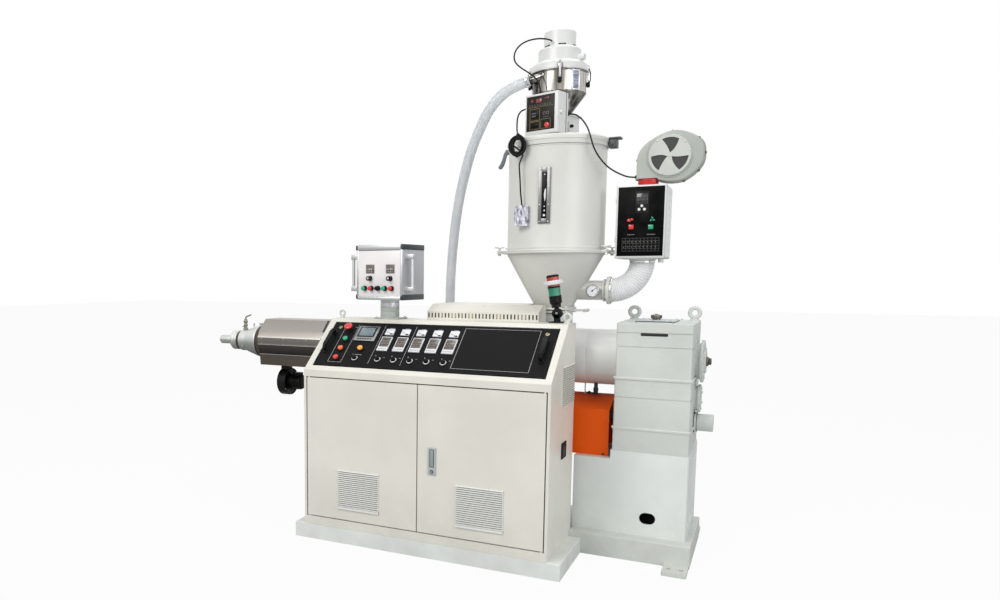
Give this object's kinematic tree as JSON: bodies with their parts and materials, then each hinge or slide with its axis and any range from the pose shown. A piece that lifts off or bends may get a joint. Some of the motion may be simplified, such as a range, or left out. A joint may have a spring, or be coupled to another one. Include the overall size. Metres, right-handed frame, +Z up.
{
  "type": "plastic extruder",
  "caption": "Plastic extruder with sloping control cabinet, gearbox, faceted barrel guard, hopper dryer and vacuum loader.",
  "frame": {"origin": "on the floor, straight below the middle of the feed hopper, on the screw's centre line in plan", "axes": "+X along the screw from the die to the gearbox, -Y towards the operator, +Z up"},
  "size_m": [3.1, 1.165, 2.72],
  "materials": {
    "ivory_paint": "semi-gloss",
    "grey_paint": "semi-gloss",
    "white_paint": "semi-gloss",
    "orange_paint": "semi-gloss",
    "motor_paint": "semi-gloss",
    "stainless": "brushed",
    "dark_steel": "satin",
    "chrome_parts": "polished",
    "aluminium_case": "satin",
    "black_panel": "satin",
    "black_plastic": "satin",
    "instrument_plastic": "gloss",
    "control_plastic": "gloss",
    "lamp_plastic": "gloss",
    "white_plastic": "gloss",
    "red_rubber": "satin",
    "clear_hose": "gloss",
    "black_rubber": "satin",
    "grey_wrap": "satin"
  },
  "bodies": {
    "machine": {"front_base": "grey_paint", "rear_base": "grey_paint", "lower_frame": "grey_paint", "gearbox_housing": "grey_paint", "gearbox_cover": "grey_paint", "gearbox_end_covers": "grey_paint", "distance_piece": "white_paint", "feed_housing": "white_paint", "barrel": "dark_steel", "barrel_guard": "stainless", "machine_supports": "grey_paint", "die_adapter": "dark_steel", "die_nozzle": "dark_steel", "cooling_blowers": "black_plastic", "vent_cover": "ivory_paint", "coupling_guard": "orange_paint", "drive_motor": "motor_paint", "cabinet_left_side": "ivory_paint", "cabinet_right_side": "ivory_paint", "cabinet_back": "ivory_paint", "cabinet_floor": "ivory_paint", "desk_frame": "ivory_paint", "side_fittings": "black_plastic", "console_column": "white_paint", "tower_foot": "black_plastic", "hopper_cone": "grey_paint", "hopper_barrel": "white_paint", "hopper_lid": "white_paint", "hopper_fittings": "chrome_parts", "air_duct": "grey_paint", "air_elbow": "white_plastic", "dryer_heater": "white_paint", "dryer_control_box": "white_paint", "red_coupling": "red_rubber", "blower_scroll": "grey_paint", "blower_grille": "grey_paint", "loader_base": "white_paint", "loader_body": "stainless", "loader_head": "white_paint", "loader_control_box": "white_paint", "suction_hose": "clear_hose", "hose_lance": "stainless", "motor_lead": "black_rubber", "dryer_lead": "black_rubber", "sensor_lead": "black_rubber", "lead_coil": "black_rubber", "level_sensor": "grey_wrap"},
    "left_door": {"left_door": "ivory_paint"},
    "right_door": {"right_door": "ivory_paint", "door_handle": "chrome_parts"},
    "control_panel": {"control_panel": "black_panel", "panel_instruments": "instrument_plastic", "panel_controls": "control_plastic"},
    "operator_console": {"console_box": "aluminium_case", "console_trim": "black_plastic"},
    "signal_tower": {"signal_lamp": "lamp_plastic"}
  },
  "joints": [
    {"name": "left_door_hinge", "type": "hinge", "parent": "machine", "child": "left_door", "pos_m": [-1.126, -0.742, 0.51], "axis": [0, 0, -1], "range_deg": [0, 110]},
    {"name": "right_door_hinge", "type": "hinge", "parent": "machine", "child": "right_door", "pos_m": [0.153, -0.742, 0.51], "axis": [0, 0, 1], "range_deg": [0, 110]},
    {"name": "control_panel_hinge", "type": "hinge", "parent": "machine", "child": "control_panel", "pos_m": [-0.485, -0.7073, 0.95404], "axis": [1, 0, 0], "range_deg": [0, 75]},
    {"name": "console_swivel", "type": "hinge", "parent": "machine", "child": "operator_console", "pos_m": [-0.832, -0.35, 1.27], "axis": [0, 0, 1], "range_deg": [-60, 60]},
    {"name": "tower_tilt", "type": "hinge", "parent": "machine", "child": "signal_tower", "pos_m": [0.094, -0.306, 1.242], "axis": [0, 1, 0], "range_deg": [-25, 30]}
  ]
}
